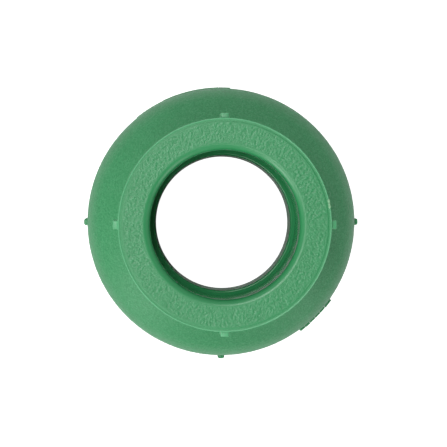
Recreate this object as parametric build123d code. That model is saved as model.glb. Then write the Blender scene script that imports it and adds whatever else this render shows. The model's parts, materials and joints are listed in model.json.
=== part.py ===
from build123d import *
import math
import os

# Socket-fusion reducing coupling that joins a 32 mm plastic pipe to a 25 mm one.
#
# The real fitting is one injection moulding with no loose piece. It is written out
# here as its named zones, which meet face to face: the two sockets, the shoulder and
# the stop ring between them, and the raised details of the outside walls.
#
# Frame: millimetres. The origin is the centre of the large socket's end face, and +Z
# runs along the axis, out of the small socket. Angles go from +X towards +Y.

# Sockets. Each bore is a pipe's outside diameter less the interference it melts into.
LARGE_BORE_R = 15.6
LARGE_DEPTH = 18.0
SMALL_BORE_R = 12.1
SMALL_DEPTH = 16.0

# Outside walls, and the web between the two sockets with the ring's outer edge in it.
LARGE_WALL_R = 22.75
SMALL_WALL_R = 17.3
WEB = 5.5
WEB_EDGE_R = 16.5

# Waterway through the web, which narrows a little towards the large socket.
STOP_R = 11.35
WATERWAY_R = 11.05

# Rounded edges.
SMALL_RIM_ROUND = 0.35
LARGE_RIM_ROUND = 0.6
SMALL_LEAD_IN = 1.15
LARGE_LEAD_IN = 1.3
SHOULDER_ROUND = 7.0
SHOULDER_ROOT_ROUND = 1.0
STOP_ROUND = 0.3
WATERWAY_ROUND = 0.6

# Alignment marks: short ribs along the walls at the quarter turns.
SMALL_MARK = {"width": 1.4, "height": 0.8, "low": 31.5, "high": 38.7, "rounding": 0.2}
SMALL_MARK_ANGLES = (0, 90, 180, 270)
LARGE_MARK = {"width": 1.1, "height": 0.6, "low": 5.0, "high": 14.5, "rounding": 0.25}
LARGE_MARK_ANGLES = (0, 180, 270)

# Plain raised blocks where the maker's lettering stands on a real fitting. Each row is
# its first angle, its last angle, its number of blocks and their height.
BLOCK_ROWS = (
    (-54.0, -48.5, 2, 0.45),
    (-48.5, -39.5, 3, 0.38),
    (-39.5, -35.3, 1, 0.45),
    (86.0, 115.5, 6, 0.2),
    (115.5, 129.0, 3, 0.14),
)
BLOCK_GAP_ANGLE = 0.12
BLOCK = {"low": 8.6, "high": 13.9, "rounding": 0.06}

# Gate vestige: the trimmed stub that the moulding's gate leaves at the rim.
GATE_ANGLE = 11.5
GATE = {"width": 1.3, "height": 0.16, "low": 37.9, "high": 39.1, "rounding": 0.05}

# Planes of the two pipe stops, and the whole length.
LOWER_STOP_Z = LARGE_DEPTH
UPPER_STOP_Z = LARGE_DEPTH + WEB
TOTAL_Z = UPPER_STOP_Z + SMALL_DEPTH

# The shoulder slopes at 45 degrees, so it falls as far as it spreads, and the rounding
# at its root ends level with the upper stop.
SHOULDER_ROOT_Z = UPPER_STOP_Z - SHOULDER_ROOT_ROUND * math.tan(math.radians(45 / 2))
SHOULDER_CORNER_Z = SHOULDER_ROOT_Z - (LARGE_WALL_R - SMALL_WALL_R)
OUTSIDE_R = LARGE_WALL_R + 1.0


def half_section():
    """The fitting's wall on the XZ plane: radius, height and rounding of each corner."""
    corners = (
        (LARGE_BORE_R, 0, LARGE_LEAD_IN),
        (LARGE_WALL_R, 0, LARGE_RIM_ROUND),
        (LARGE_WALL_R, SHOULDER_CORNER_Z, SHOULDER_ROUND),
        (SMALL_WALL_R, SHOULDER_ROOT_Z, SHOULDER_ROOT_ROUND),
        (SMALL_WALL_R, TOTAL_Z, SMALL_RIM_ROUND),
        (SMALL_BORE_R, TOTAL_Z, SMALL_LEAD_IN),
        (SMALL_BORE_R, UPPER_STOP_Z, 0),
        (STOP_R, UPPER_STOP_Z, STOP_ROUND),
        (WATERWAY_R, LOWER_STOP_Z, WATERWAY_ROUND),
        (LARGE_BORE_R, LOWER_STOP_Z, 0),
    )
    points = [(radius, z) for radius, z, _ in corners]
    roundings = [rounding for _, _, rounding in corners]
    return make_face(Plane.XZ * FilletPolyline(*points, radius=roundings, close=True))


def zone(section, low_r, high_r, low_z, high_z):
    """The ring that the section makes between two radii and two heights."""
    middle = Plane.XZ * Pos((low_r + high_r) / 2, (low_z + high_z) / 2)
    window = middle * Rectangle(high_r - low_r, high_z - low_z)
    return revolve(section & window, Axis.Z)


def raised(angle, wall_r, width, height, low, high, rounding):
    """A rib or block standing on the outside of a wall, its outer edges rounded."""
    length = high - low
    band = Cylinder(wall_r + height, length) - Cylinder(wall_r, length)
    window = Pos(wall_r, 0, 0) * Box(4 * height, width, length)
    plain = band & window
    outer_edges = [edge for edge in plain.edges() if edge.center().X > wall_r + 0.6 * height]
    return Rot(0, 0, angle) * Pos(0, 0, (low + high) / 2) * fillet(outer_edges, rounding)


def marks(wall_r, mark, angles):
    """The same mark at each angle, as one node of separate solids."""
    return Compound(children=[raised(angle, wall_r, **mark) for angle in angles])


def marking_blocks():
    """Every row of blocks, with the same gap between the blocks of a row."""
    blocks = []
    for first, last, count, height in BLOCK_ROWS:
        pitch = (last - first) / count
        width = math.radians(pitch - BLOCK_GAP_ANGLE) * LARGE_WALL_R
        for index in range(count):
            angle = first + (index + 0.5) * pitch
            blocks.append(raised(angle, LARGE_WALL_R, width, height, **BLOCK))
    return Compound(children=blocks)


section = half_section()

nodes = {
    "large_socket": zone(section, 0, OUTSIDE_R, 0, LOWER_STOP_Z),
    "stop_ring": zone(section, 0, WEB_EDGE_R, LOWER_STOP_Z, UPPER_STOP_Z),
    "shoulder": zone(section, WEB_EDGE_R, OUTSIDE_R, LOWER_STOP_Z, UPPER_STOP_Z),
    "small_socket": zone(section, 0, OUTSIDE_R, UPPER_STOP_Z, TOTAL_Z),
    "small_end_alignment_marks": marks(SMALL_WALL_R, SMALL_MARK, SMALL_MARK_ANGLES),
    "large_end_alignment_marks": marks(LARGE_WALL_R, LARGE_MARK, LARGE_MARK_ANGLES),
    "marking_blocks": marking_blocks(),
    "gate_vestige": raised(GATE_ANGLE, SMALL_WALL_R, **GATE),
}

os.makedirs("parts", exist_ok=True)
for name, shape in nodes.items():
    export_step(shape, f"parts/{name}.step")
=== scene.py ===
import itertools
import json
import math

import bmesh
import bpy
import numpy as np
from mathutils import Matrix, Vector


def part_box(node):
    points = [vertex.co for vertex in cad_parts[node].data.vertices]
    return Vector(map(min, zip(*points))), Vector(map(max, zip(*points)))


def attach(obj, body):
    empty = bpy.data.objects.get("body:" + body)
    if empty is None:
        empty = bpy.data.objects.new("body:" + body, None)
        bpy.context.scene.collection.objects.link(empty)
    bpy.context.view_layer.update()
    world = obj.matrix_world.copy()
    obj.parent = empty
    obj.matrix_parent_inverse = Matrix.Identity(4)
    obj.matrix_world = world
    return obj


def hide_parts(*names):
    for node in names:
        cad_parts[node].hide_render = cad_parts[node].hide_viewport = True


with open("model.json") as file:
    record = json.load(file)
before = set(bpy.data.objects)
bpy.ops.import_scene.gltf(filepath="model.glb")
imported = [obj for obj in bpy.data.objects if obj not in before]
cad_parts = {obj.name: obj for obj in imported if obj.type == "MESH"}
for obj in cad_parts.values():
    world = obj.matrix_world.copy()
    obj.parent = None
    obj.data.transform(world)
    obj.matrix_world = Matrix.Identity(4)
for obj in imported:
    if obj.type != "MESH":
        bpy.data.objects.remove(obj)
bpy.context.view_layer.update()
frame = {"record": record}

# The looks of a green polypropylene pipe reducer, seen along its axis on a white table.
#
# Shapes are worked out in millimetres, in the part's own frame: the origin is the centre
# of the large socket's end face, +Z runs out of the small socket, and angles go from +X
# towards +Y, in degrees. A point becomes metres only when its mesh is made. Every zone of
# the moulding is a closed lathed solid, and neighbours share the circles they meet on.

MM = 0.001


# ---------------------------------------------------------------- sizes from the frame

def box_mm(node):
    """The lowest and highest corner of a CAD node, to a hundredth of a millimetre."""
    return [[round(value / MM, 2) for value in corner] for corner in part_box(node)]


def bore_mm(name):
    """The radius and the length of a bore mount's wall."""
    dims = next(m["dims"] for m in frame["record"]["mounts"] if m["name"] == name)
    return dims["r_mm"], dims["length_mm"]


SMALL_BOX, LARGE_BOX, WEB_BOX = (box_mm(n) for n in ("small_socket", "large_socket", "stop_ring"))
SMALL_WALL_R, LARGE_WALL_R, WEB_EDGE_R = (box[1][0] for box in (SMALL_BOX, LARGE_BOX, WEB_BOX))
LOWER_STOP_Z, UPPER_STOP_Z, TOP_Z = LARGE_BOX[1][2], SMALL_BOX[0][2], SMALL_BOX[1][2]
SMALL_BORE_R, SMALL_BORE_LENGTH = bore_mm("small_socket")
LARGE_BORE_R, LARGE_BORE_LENGTH = bore_mm("large_socket")
SMALL_LEAD_IN = TOP_Z - UPPER_STOP_Z - SMALL_BORE_LENGTH
LARGE_LEAD_IN = LOWER_STOP_Z - LARGE_BORE_LENGTH

# The rest of the section: the waterway and the roundings.
STOP_R = 11.35
WATERWAY_R = 11.05
LARGE_RIM_ROUND = 0.6
STOP_ROUND = 0.3
WATERWAY_ROUND = 0.6
SHOULDER_ROUND = 7.0
ROOT_ROUND = 1.0

# The end faces' highest grain reaches the CAD planes, so the faces lie this much inside.
GRAIN_PEAK = 0.06

# Round the small end's face a slope leads down to a narrow band, and the outer edge of the
# moulding stands over the band as a fine lip. The lip is coloured paler, partly as wear and
# partly as a painted highlight along the rim's edge.
FACE_EDGE_R = 16.62
SLOPE_ROUND = 0.3
SLOPE_TILT = 22
SLOPE_RUN = 0.08
LIP_ROUND = 0.12
LIP_HEIGHT = 0.03

# The shoulder slopes at 45 degrees between its two roundings. The diagonal is the sine and
# the cosine of that angle.
SLOPE = 45
DIAGONAL = math.sqrt(0.5)
ROOT_Z = UPPER_STOP_Z - ROOT_ROUND * math.tan(math.radians(SLOPE / 2))
SHOULDER_Z = ROOT_Z - (LARGE_WALL_R - SMALL_WALL_R)
ROOT_CENTRE = (SMALL_WALL_R + ROOT_ROUND, UPPER_STOP_Z)
SHOULDER_CENTRE = (
    LARGE_WALL_R - SHOULDER_ROUND,
    SHOULDER_Z - SHOULDER_ROUND * math.tan(math.radians(SLOPE / 2)),
)
SEAM_ANGLE = math.degrees(math.asin((LOWER_STOP_Z - SHOULDER_CENTRE[1]) / SHOULDER_ROUND))

# Raised details, repeated from the part's design.
SMALL_MARK = {"width": 1.4, "height": 0.8, "low": 31.5, "high": 38.7}
SMALL_MARK_ANGLES = (0, 90, 180, 270)
LARGE_MARK = {"width": 1.1, "height": 0.6, "low": 5.0, "high": 14.5}
LARGE_MARK_ANGLES = (0, 180, 270)
BLOCK_ROWS = (
    (-54.0, -48.5, 2, 0.45),
    (-48.5, -39.5, 3, 0.38),
    (-39.5, -35.3, 1, 0.45),
    (86.0, 115.5, 6, 0.2),
    (115.5, 129.0, 3, 0.14),
)
BLOCK_GAP_ANGLE = 0.12
BLOCK = {"low": 8.6, "high": 13.9}

# What is left of the gate: torn lumps over the rim's edge. Each is its angle, then half its
# size round the rim, outwards and up.
GATE_LUMPS = ((9.9, 0.30, 0.20, 0.13), (11.3, 0.22, 0.16, 0.11), (12.9, 0.36, 0.22, 0.14))


# ---------------------------------------------------------------- surface finishes

# How far apart a finish's rings are, then how high its grain is and how wide a hill of it
# is, in millimetres, and the number of rings over which the grain fades at its borders.
RING_STEP = {
    "grained": 0.11,
    "base": 0.22,
    "satin": 0.13,
    "rim": 0.07,
    "lip": 0.05,
    "edge": 0.05,
    "lead_in": 0.12,
    "wall": 1.5,
    "polished": 1.5,
    "hidden": 9.0,
}
GRAIN = {"grained": (0.060, 0.30), "base": (0.060, 0.5), "satin": (0.055, 0.32)}
FADE_RINGS = 2

# The grain's two sizes of hills, each its share, its seed and its part of the cell.
HILL_SIZES = ((0.6, 5, 1), (0.4, 6, 0.5))
HILL_STRETCH = 1.6


def hills(points, cell, seed):
    """Smooth random heights from about -1 to 1 at points, with hills a cell or so across."""
    random = np.random.default_rng(seed)
    order = random.permutation(256)
    slopes = random.normal(size=(256, 3))
    slopes /= np.linalg.norm(slopes, axis=1, keepdims=True)
    base = np.floor(points / cell).astype(int)
    offset = points / cell - base
    fade = offset ** 3 * (offset * (offset * 6 - 15) + 10)
    total = np.zeros(len(points))
    for corner in itertools.product((0, 1), repeat=3):
        x, y, z = ((base + corner) & 255).T
        slope = slopes[order[(order[(order[x] + y) & 255] + z) & 255]]
        weight = np.prod(np.where(corner, fade, 1 - fade), axis=1)
        total += weight * np.sum(slope * (offset - corner), axis=1)
    return HILL_STRETCH * total


def grain(points, cell):
    """The grain of a textured surface: two sizes of hills together."""
    return sum(share * hills(points, cell * part, seed) for share, seed, part in HILL_SIZES)


# ---------------------------------------------------------------- lathed zones

# How many segments each zone has round the axis, and the angle between two faces from
# which their edge is sharp.
SEGMENTS = {"small": 1150, "shoulder": 1000, "web": 480, "large": 920}
SHARP_ANGLE = 50


class Section:
    """A zone's outline on the plane of radius and height, with the inside on its left."""

    def __init__(self, start):
        self.points = [np.array(start, float)]
        self.normals = []
        self.finishes = []

    def _add(self, finish, points, normals):
        self.points += list(points)
        self.normals += list(normals)
        self.finishes += [finish] * len(points)

    def line(self, end, finish):
        start, end = self.points[-1], np.array(end, float)
        count = max(1, math.ceil(np.linalg.norm(end - start) / RING_STEP[finish]))
        shares = np.arange(1, count + 1)[:, None] / count
        along = (end - start) / np.linalg.norm(end - start)
        self._add(finish, start + (end - start) * shares, [(along[1], -along[0])] * count)

    def arc(self, centre, end_angle, finish):
        """A rounding about a centre, from where the outline is to an angle in degrees."""
        spoke = self.points[-1] - centre
        radius, start = np.linalg.norm(spoke), math.atan2(spoke[1], spoke[0])
        turn = (math.radians(end_angle) - start + math.pi) % (2 * math.pi) - math.pi
        count = max(3, math.ceil(abs(turn) * radius / RING_STEP[finish]))
        angles = start + turn * np.arange(1, count + 1) / count
        out = np.column_stack((np.cos(angles), np.sin(angles)))
        middles = angles - turn / count / 2
        facing = np.column_stack((np.cos(middles), np.sin(middles))) * math.copysign(1, turn)
        self._add(finish, centre + radius * out, facing)

    def close(self, *corners):
        """Hidden faces by way of corners back to the start."""
        for corner in corners:
            self.line(corner, "hidden")
        self.line(self.points[0], "hidden")
        self.points.pop()


def rounding(before, corner, after, radius):
    """Where a rounding of a corner starts, its centre, and the angle where it ends."""
    before, corner, after = (np.array(p, float) for p in (before, corner, after))
    back = (before - corner) / np.linalg.norm(before - corner)
    on = (after - corner) / np.linalg.norm(after - corner)
    half = math.acos(float(back @ on)) / 2
    centre = corner + (back + on) / np.linalg.norm(back + on) * radius / math.sin(half)
    start, end = (corner + way * radius / math.tan(half) for way in (back, on))
    return start, centre, math.degrees(math.atan2(*(end - centre)[::-1]))


def make_piece(name, points_mm, faces, finish_of_face, replaced):
    """A smooth-shaded piece that stands for a CAD node, its faces in their finishes."""
    mesh = bpy.data.meshes.new(name)
    mesh.from_pydata((np.asarray(points_mm) * MM).tolist(), [], faces)
    used = sorted(set(finish_of_face))
    for finish in used:
        mesh.materials.append(MATERIALS[finish])
    mesh.polygons.foreach_set("material_index", [used.index(f) for f in finish_of_face])
    mesh.shade_smooth()
    mesh.set_sharp_from_angle(angle=math.radians(SHARP_ANGLE))
    piece = bpy.data.objects.new(name, mesh)
    bpy.context.scene.collection.objects.link(piece)
    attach(piece, "root")
    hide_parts(replaced)
    return piece


def lathe(name, section, segments, replaced):
    """A closed ring turned from a section, with the grain of its finishes on it."""
    rings = np.array(section.points)
    across = np.array(section.normals) + np.roll(section.normals, 1, 0)
    across /= np.linalg.norm(across, axis=1, keepdims=True)
    angles = 2 * math.pi * np.arange(segments) / segments

    def spin(flat):
        turned = [flat[:, :1] * np.cos(angles), flat[:, :1] * np.sin(angles)]
        return np.stack([*turned, np.repeat(flat[:, 1:], segments, 1)], axis=-1).reshape(-1, 3)

    points = spin(rings)
    lift = np.zeros(len(points))
    texture = np.zeros(len(points))
    for finish, (height, cell) in GRAIN.items():
        grained = np.array([f == finish for f in section.finishes])
        share = np.minimum(grained, np.roll(grained, 1)).astype(float)
        for _ in range(FADE_RINGS):
            share = np.minimum(share, (np.roll(share, 1) + share + np.roll(share, -1)) / 3)
        where = np.repeat(share, segments)
        shown = where > 0
        bumps = where[shown] * grain(points[shown], cell)
        texture[shown] += bumps
        lift[shown] += height * bumps
    points += spin(across) * lift[:, None]

    ring, column = np.meshgrid(np.arange(len(rings)), np.arange(segments), indexing="ij")
    next_ring, next_column = (ring + 1) % len(rings), (column + 1) % segments
    corners = (
        ring * segments + column,
        ring * segments + next_column,
        next_ring * segments + next_column,
        next_ring * segments + column,
    )
    faces = np.stack(corners, axis=-1).reshape(-1, 4).tolist()
    piece = make_piece(name, points, faces, np.repeat(section.finishes, segments), replaced)
    piece.data.attributes.new("grain", "FLOAT", "POINT").data.foreach_set("value", texture)
    return piece


# ---------------------------------------------------------------- raised details

# A detail's solid starts this deep in the wall. Its roundings take at most this share of
# its height, its top's last outline lies this share of its half width further in, and no
# corner of an outline is tighter than this.
SUNK = 0.2
ROUNDED_SHARE = 0.5
TOP_INSET_SHARE = 0.7
SMALLEST_CORNER_R = 0.03
ROUNDING_STEPS = 6

# How much the gate's lumps swell and shrink, and how wide one swelling is on a lump, as a
# share of its half size.
LUMP_UNEVEN = 0.3
LUMP_CELL = 0.9
LUMP_SEED = 7
LUMP_SUBDIVISIONS = 4


def rounded_rectangle(half_width, half_height, corner_r):
    """The outline of a rectangle about the origin, anticlockwise, with rounded corners."""
    quarter = np.linspace(0, math.pi / 2, ROUNDING_STEPS + 1)
    corners = []
    for turn, (side, end) in enumerate(((1, 1), (-1, 1), (-1, -1), (1, -1))):
        angles = quarter + turn * math.pi / 2
        centre = (side * (half_width - corner_r), end * (half_height - corner_r))
        spokes = np.column_stack((np.cos(angles), np.sin(angles)))
        corners.append(np.array(centre) + corner_r * spokes)
    return np.vstack(corners)


def raised(name, wall_r, places, corner_r, root_r, top_r, finish, replaced):
    """Ribs or blocks on a wall, each a closed solid with a rounded root and rounded edges.

    A place holds an angle, width, height, low and high. Each solid is a stack of outlines:
    one sunk in the wall, then in along the root's rounding and in again over the edge.
    """
    points, faces = [], []
    bends = np.linspace(0, math.pi / 2, ROUNDING_STEPS + 1)
    for place in places:
        height, half_width = place["height"], place["width"] / 2
        half_height = (place["high"] - place["low"]) / 2
        middle = (place["high"] + place["low"]) / 2
        root, top = (min(r, ROUNDED_SHARE * height) for r in (root_r, top_r))
        stack = [(root, -SUNK)]
        stack += [(root * (1 - math.sin(b)), root * (1 - math.cos(b))) for b in bends]
        stack += [(top * (math.cos(b) - 1), height + top * (math.sin(b) - 1)) for b in bends]
        stack.append((-TOP_INSET_SHARE * half_width, height))
        first = len(points)
        for out, up in stack:
            outline_corner_r = max(SMALLEST_CORNER_R, corner_r + out)
            flat = rounded_rectangle(half_width + out, half_height + out, outline_corner_r)
            turn = math.radians(place["angle"]) + flat[:, 0] / wall_r
            reach = wall_r + up
            outline = (reach * np.cos(turn), reach * np.sin(turn), flat[:, 1] + middle)
            points += np.column_stack(outline).tolist()
        count = len(flat)
        for level, column in itertools.product(range(len(stack) - 1), range(count)):
            a, b = (first + level * count + c % count for c in (column, column + 1))
            faces.append((a, b, b + count, a + count))
        faces.append(tuple(range(first + count - 1, first - 1, -1)))
        faces.append(tuple(range(len(points) - count, len(points))))
    return make_piece(name, points, faces, [finish] * len(faces), replaced)


def lumps(name, places, middle_r, middle_z, replaced):
    """Torn lumps round the axis at one radius and height, each a closed uneven solid."""
    points, faces = [], []
    for angle, along, out, up in places:
        ball = bmesh.new()
        bmesh.ops.create_icosphere(ball, subdivisions=LUMP_SUBDIVISIONS, radius=1)
        ball.verts.ensure_lookup_table()
        way = np.array([v.co[:] for v in ball.verts])
        swell = 1 + LUMP_UNEVEN * hills(way + angle, LUMP_CELL, LUMP_SEED)
        uneven = way * swell[:, None] * (out, along, up)
        turn = math.radians(angle)
        reach = middle_r + uneven[:, 0]
        round_x = reach * math.cos(turn) - uneven[:, 1] * math.sin(turn)
        round_y = reach * math.sin(turn) + uneven[:, 1] * math.cos(turn)
        faces += [tuple(len(points) + v.index for v in face.verts) for face in ball.faces]
        points += np.column_stack((round_x, round_y, middle_z + uneven[:, 2])).tolist()
        ball.free()
    return make_piece(name, points, faces, ["cut"] * len(faces), replaced)


def around(shape, angles):
    """The same raised detail at several angles."""
    return [{"angle": angle, **shape} for angle in angles]


def block_places():
    """The plain blocks of every row, each narrower than its share by half a gap a side."""
    for first, last, count, height in BLOCK_ROWS:
        pitch = (last - first) / count
        width = math.radians(pitch - BLOCK_GAP_ANGLE) * LARGE_WALL_R
        for index in range(count):
            angle = first + (index + 0.5) * pitch
            yield {"angle": angle, "width": width, "height": height, **BLOCK}


# ---------------------------------------------------------------- materials

def plastic(name, colours, roughness, bump, bump_cell, speckle, haze=0.5):
    """Moulded polypropylene: its pigment is cloudy, its gloss varies, and its grain's hills are
    painted paler and its hollows darker, painted light and shade of the grain.

    The colours are the palest, the usual and the deepest, the bump's height and cell are in
    millimetres, speckle is how strongly fine random dots, painted light and shade of the finest
    grain, show in the colour, and haze is the shader's specular level, which fine grain raises.
    """
    material = bpy.data.materials.new(name)
    material.use_nodes = True
    nodes, links = material.node_tree.nodes, material.node_tree.links
    shader = nodes["Principled BSDF"]
    shader.inputs["IOR"].default_value = PP_IOR
    shader.inputs["Specular IOR Level"].default_value = haze
    place = nodes.new("ShaderNodeTexCoord").outputs["Object"]

    def noise(cell, detail):
        node = nodes.new("ShaderNodeTexNoise")
        node.inputs["Scale"].default_value = 1 / (cell * MM)
        node.inputs["Detail"].default_value = detail
        links.new(place, node.inputs["Vector"])
        return node.outputs["Fac"]

    def sum_of(source, weight, base):
        """The source times a weight, added to a base, which may be a number or a socket."""
        node = nodes.new("ShaderNodeMath")
        node.operation = "MULTIPLY_ADD"
        links.new(source, node.inputs[0])
        node.inputs[1].default_value = weight
        if isinstance(base, float):
            node.inputs[2].default_value = base
        else:
            links.new(base, node.inputs[2])
        return node.outputs["Value"]

    hill = nodes.new("ShaderNodeAttribute")
    hill.attribute_name = "grain"
    pale = sum_of(noise(CLOUD_CELL, detail=3), CLOUD_WEIGHT, 0.5 - CLOUD_WEIGHT / 2 - speckle / 2)
    # Painted light and shade of the grain: fine speckle, then the grain's hills paler and its hollows
    # darker.
    pale = sum_of(noise(SPECKLE_CELL, detail=1), speckle, pale)
    pale = sum_of(hill.outputs["Fac"], PAINTED_GRAIN_SHADE_WEIGHT, pale)
    ramp = nodes.new("ShaderNodeValToRGB")
    ramp.color_ramp.elements.new(0.5)
    stops = zip(ramp.color_ramp.elements, (0.0, 0.5, 1.0), reversed(colours))
    for element, position, colour in stops:
        element.position = position
        element.color = (*colour, 1)
    links.new(pale, ramp.inputs["Fac"])
    links.new(ramp.outputs["Color"], shader.inputs["Base Color"])

    low, high = roughness
    gloss = sum_of(noise(GLOSS_CELL, detail=4), high - low, float(low))
    links.new(gloss, shader.inputs["Roughness"])

    tooth = nodes.new("ShaderNodeBump")
    tooth.inputs["Distance"].default_value = bump * MM
    links.new(noise(bump_cell, detail=3), tooth.inputs["Height"])
    links.new(tooth.outputs["Normal"], shader.inputs["Normal"])
    return material


PP_IOR = 1.49
CLOUD_CELL = 9.0
CLOUD_WEIGHT = 0.3
# How strongly the grain's height paints its hills paler and its hollows darker, a painted shade of
# the grain.
PAINTED_GRAIN_SHADE_WEIGHT = 0.7
SPECKLE_CELL = 0.2
GLOSS_CELL = 1.5
GREENS = ((0.060, 0.335, 0.140), (0.033, 0.285, 0.100), (0.018, 0.235, 0.076))
# Paler greens for the lip and the small end's marks: a worn tone, and also a painted highlight
# standing in for light on the rim's edge and on the marks' tops.
WORN_AND_HIGHLIT_GREENS = ((0.130, 0.480, 0.235), (0.090, 0.430, 0.190), (0.060, 0.360, 0.145))
CUT_GREENS = ((0.32, 0.58, 0.34), (0.24, 0.50, 0.28), (0.15, 0.40, 0.19))
MATERIALS = {
    "grained": plastic(
        "grained_green_pp", GREENS, roughness=(0.32, 0.48),
        bump=0.016, bump_cell=0.2, speckle=1.5, haze=0.75,
    ),
    "satin": plastic(
        "satin_green_pp", GREENS, roughness=(0.30, 0.42),
        bump=0.035, bump_cell=0.24, speckle=2.4, haze=0.7,
    ),
    "rim": plastic(
        "hazy_green_pp", GREENS, roughness=(0.40, 0.50),
        bump=0.012, bump_cell=0.2, speckle=1.4, haze=0.7,
    ),
    "lead_in": plastic(
        "lead_in_green_pp", GREENS, roughness=(0.30, 0.38),
        bump=0.001, bump_cell=0.6, speckle=0.0, haze=0.7,
    ),
    "polished": plastic(
        "polished_green_pp", GREENS, roughness=(0.06, 0.12),
        bump=0.001, bump_cell=0.6, speckle=0.0,
    ),
    "lip": plastic(
        "worn_green_pp", WORN_AND_HIGHLIT_GREENS, roughness=(0.30, 0.42),
        bump=0.004, bump_cell=0.3, speckle=0.3, haze=0.7,
    ),
    "cut": plastic(
        "cut_green_pp", CUT_GREENS, roughness=(0.45, 0.60),
        bump=0.02, bump_cell=0.2, speckle=0.3,
    ),
}
MATERIALS.update({finish: MATERIALS["satin"] for finish in ("wall", "hidden")})
MATERIALS.update(base=MATERIALS["grained"], edge=MATERIALS["polished"])


# ---------------------------------------------------------------- the pieces

# The small socket's wall, from its seam up the outside, over the rim and down the bore.
face_z = TOP_Z - GRAIN_PEAK
tilt = math.radians(SLOPE_TILT)
slope_centre = (FACE_EDGE_R, face_z - SLOPE_ROUND)
slope_top = (
    FACE_EDGE_R + SLOPE_ROUND * math.sin(tilt),
    face_z - SLOPE_ROUND * (1 - math.cos(tilt)),
)
slope_foot = (slope_top[0] + SLOPE_RUN, slope_top[1] - SLOPE_RUN * math.tan(tilt))
lip_centre = (SMALL_WALL_R - LIP_ROUND, slope_foot[1] + LIP_HEIGHT - LIP_ROUND)
lip_angle = 90 + math.degrees(math.acos(1 - LIP_HEIGHT / LIP_ROUND))

small = Section((SMALL_WALL_R, UPPER_STOP_Z))
small.line((SMALL_WALL_R, lip_centre[1]), "wall")
small.arc(lip_centre, lip_angle, "lip")
small.line(slope_foot, "rim")
small.line(slope_top, "rim")
small.arc(slope_centre, 90, "rim")
small.line((SMALL_BORE_R + SMALL_LEAD_IN, face_z), "grained")
small.arc((SMALL_BORE_R + SMALL_LEAD_IN, face_z - SMALL_LEAD_IN), 180, "lead_in")
small.line((SMALL_BORE_R, UPPER_STOP_Z), "polished")
small.close()
lathe("small_socket_wall", small, SEGMENTS["small"], "small_socket")

# The shoulder, from its seam with the large socket's wall up to the small one's.
seam_r = SHOULDER_CENTRE[0] + SHOULDER_ROUND * math.cos(math.radians(SEAM_ANGLE))
slope = Section((seam_r, LOWER_STOP_Z))
slope.arc(SHOULDER_CENTRE, SLOPE, "satin")
slope.line(np.array(ROOT_CENTRE) - ROOT_ROUND * DIAGONAL, "satin")
slope.arc(ROOT_CENTRE, 180, "satin")
slope.close((WEB_EDGE_R, UPPER_STOP_Z), (WEB_EDGE_R, LOWER_STOP_Z))
lathe("shoulder_wall", slope, SEGMENTS["shoulder"], "shoulder")

# The stop ring, from its upper ledge down the waterway to its lower ledge.
stop_edge, stop_centre, stop_end = rounding(
    (SMALL_BORE_R, UPPER_STOP_Z), (STOP_R, UPPER_STOP_Z), (WATERWAY_R, LOWER_STOP_Z), STOP_ROUND
)
foot_edge, foot_centre, foot_end = rounding(
    (STOP_R, UPPER_STOP_Z), (WATERWAY_R, LOWER_STOP_Z), (LARGE_BORE_R, LOWER_STOP_Z), WATERWAY_ROUND
)
web = Section((SMALL_BORE_R, UPPER_STOP_Z))
web.line(stop_edge, "polished")
web.arc(stop_centre, stop_end, "edge")
web.line(foot_edge, "polished")
web.arc(foot_centre, foot_end, "edge")
web.line((LARGE_BORE_R, LOWER_STOP_Z), "polished")
web.close((WEB_EDGE_R, LOWER_STOP_Z), (WEB_EDGE_R, UPPER_STOP_Z))
lathe("stop_ring_web", web, SEGMENTS["web"], "stop_ring")

# The large socket's wall, down the bore, over the end face and up to the shoulder.
large = Section((LARGE_BORE_R, LOWER_STOP_Z))
large.line((LARGE_BORE_R, GRAIN_PEAK + LARGE_LEAD_IN), "polished")
large.arc((LARGE_BORE_R + LARGE_LEAD_IN, GRAIN_PEAK + LARGE_LEAD_IN), 270, "lead_in")
large.line((LARGE_WALL_R - LARGE_RIM_ROUND, GRAIN_PEAK), "base")
large.arc((LARGE_WALL_R - LARGE_RIM_ROUND, GRAIN_PEAK + LARGE_RIM_ROUND), 0, "rim")
large.line((LARGE_WALL_R, SHOULDER_CENTRE[1]), "wall")
large.arc(SHOULDER_CENTRE, SEAM_ANGLE, "satin")
large.close()
lathe("large_socket_wall", large, SEGMENTS["large"], "large_socket")

# The marks, the blocks and what is left of the gate.
# The small end's marks take the lip's paler greens, a painted highlight on their tops.
raised(
    "small_end_marks", SMALL_WALL_R, around(SMALL_MARK, SMALL_MARK_ANGLES),
    corner_r=0.25, root_r=0.2, top_r=0.15, finish="lip", replaced="small_end_alignment_marks",
)
raised(
    "large_end_marks", LARGE_WALL_R, around(LARGE_MARK, LARGE_MARK_ANGLES),
    corner_r=0.45, root_r=0.2, top_r=0.3, finish="wall", replaced="large_end_alignment_marks",
)
raised(
    "plain_marking_blocks", LARGE_WALL_R, block_places(),
    corner_r=0.08, root_r=0.05, top_r=0.06, finish="wall", replaced="marking_blocks",
)
lumps("trimmed_gate", GATE_LUMPS, lip_centre[0], lip_centre[1] + LIP_ROUND / 2, "gate_vestige")


# ---------------------------------------------------------------- table, lights and camera

TABLE_HALF = 3000
SHEET_ROUGHNESS = 0.9
SHEET_SPECULAR = 0.1


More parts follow.
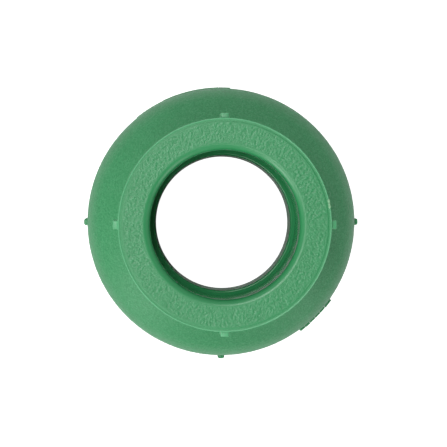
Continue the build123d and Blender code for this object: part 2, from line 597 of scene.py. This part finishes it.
def plane(name, z, colour, glow):
    """A wide matt sheet at a height in millimetres, which may glow white."""
    half, level = TABLE_HALF * MM, z * MM
    mesh = bpy.data.meshes.new(name)
    corners = [(-half, -half, level), (half, -half, level), (half, half, level), (-half, half, level)]
    mesh.from_pydata(corners, [], [(0, 1, 2, 3)])
    material = bpy.data.materials.new(name)
    material.use_nodes = True
    shader = material.node_tree.nodes["Principled BSDF"]
    shader.inputs["Base Color"].default_value = (colour, colour, colour, 1)
    shader.inputs["Roughness"].default_value = SHEET_ROUGHNESS
    shader.inputs["Specular IOR Level"].default_value = SHEET_SPECULAR
    shader.inputs["Emission Color"].default_value = (1, 1, 1, 1)
    shader.inputs["Emission Strength"].default_value = glow
    mesh.materials.append(material)
    made = bpy.data.objects.new(name, mesh)
    bpy.context.scene.collection.objects.link(made)
    return made


def softbox(name, azimuth, elevation, distance, width, height, radiance):
    """A rectangular light that faces the fitting. Azimuth is an angle of the part's frame."""
    light = bpy.data.lights.new(name, "AREA")
    light.shape = "RECTANGLE"
    light.size, light.size_y = width, height
    light.energy = radiance * math.pi * width * height
    made = bpy.data.objects.new(name, light)
    turn, rise = math.radians(azimuth), math.radians(elevation)
    way = Vector((math.cos(rise) * math.cos(turn), math.cos(rise) * math.sin(turn), math.sin(rise)))
    made.location = way * distance + Vector((0, 0, TOP_Z * MM))
    made.rotation_mode = "QUATERNION"
    made.rotation_quaternion = way.to_track_quat("Z", "Y")
    made.visible_camera = False
    bpy.context.scene.collection.objects.link(made)


# The camera sees a glowing white sheet that nothing else sees. The matt sheet just under it
# is the one that throws light on the part and shows in its reflections.
lit_table = plane("lit_table", z=0, colour=0.5, glow=1.05)
lit_table.visible_diffuse = False
lit_table.visible_glossy = False
lit_table.visible_shadow = False
plane("table", z=-0.05, colour=0.8, glow=0)

# Each softbox is a name, an azimuth, an elevation, its width and height in metres, and its
# radiance. A tall key stands low at the front left and a weaker fill at the front right. Two
# more hang high on the left, one towards the back and one towards the front.
LIGHT_DISTANCE = 0.6
SOFTBOXES = (
    ("key", -135, 27, 0.26, 0.40, 4.4),
    ("fill", -45, 22, 0.26, 0.36, 1.8),
    ("overhead_back", 125, 68, 0.30, 0.22, 7.0),
    ("overhead_front", -130, 68, 0.28, 0.22, 4.2),
)
for name, azimuth, elevation, width, height, radiance in SOFTBOXES:
    softbox(name, azimuth, elevation, LIGHT_DISTANCE, width, height, radiance)

# The room is pale near the horizon and dark overhead. Its light fades between two heights
# of a unit direction, which are the sines of 37 and 53 degrees above the horizon.
ROOM_LIGHT = 0.42
CEILING_LIGHT = 0.05
FADE_START = 0.6
FADE_END = 0.8
world = bpy.data.worlds.new("room")
world.use_nodes = True
nodes, links = world.node_tree.nodes, world.node_tree.links
facing = nodes.new("ShaderNodeSeparateXYZ")
links.new(nodes.new("ShaderNodeTexCoord").outputs["Generated"], facing.inputs["Vector"])
room = nodes.new("ShaderNodeMapRange")
for end, height, light in (("Min", FADE_START, ROOM_LIGHT), ("Max", FADE_END, CEILING_LIGHT)):
    room.inputs[f"From {end}"].default_value = height
    room.inputs[f"To {end}"].default_value = light
links.new(facing.outputs["Z"], room.inputs["Value"])
links.new(room.outputs["Result"], nodes["Background"].inputs["Strength"])
nodes["Background"].inputs["Color"].default_value = (1, 1, 1, 1)
bpy.context.scene.world = world
bpy.context.scene.view_settings.view_transform = "Standard"

# The camera looks down from 435 mm above the small end, a little off the axis to the left
# and the back. Its lens and sensor are in millimetres and what it clips is in metres.
SENSOR = 36.0
LENS = 217.2
CLIP = (0.01, 20)
CAMERA = Vector((-12.0, 9.5, TOP_Z + 434.8)) * MM
AIM = Vector((-0.25, 0.24, TOP_Z)) * MM
camera = bpy.data.objects.new("camera", bpy.data.cameras.new("camera"))
camera.data.sensor_width = SENSOR
camera.data.lens = LENS
camera.data.clip_start, camera.data.clip_end = CLIP
camera.location = CAMERA
camera.rotation_mode = "QUATERNION"
back = (CAMERA - AIM).normalized()
right = Vector((0, 1, 0)).cross(back).normalized()
camera.rotation_quaternion = Matrix((right, back.cross(right), back)).transposed().to_quaternion()
bpy.context.scene.collection.objects.link(camera)
bpy.context.scene.camera = camera

bpy.context.view_layer.update()
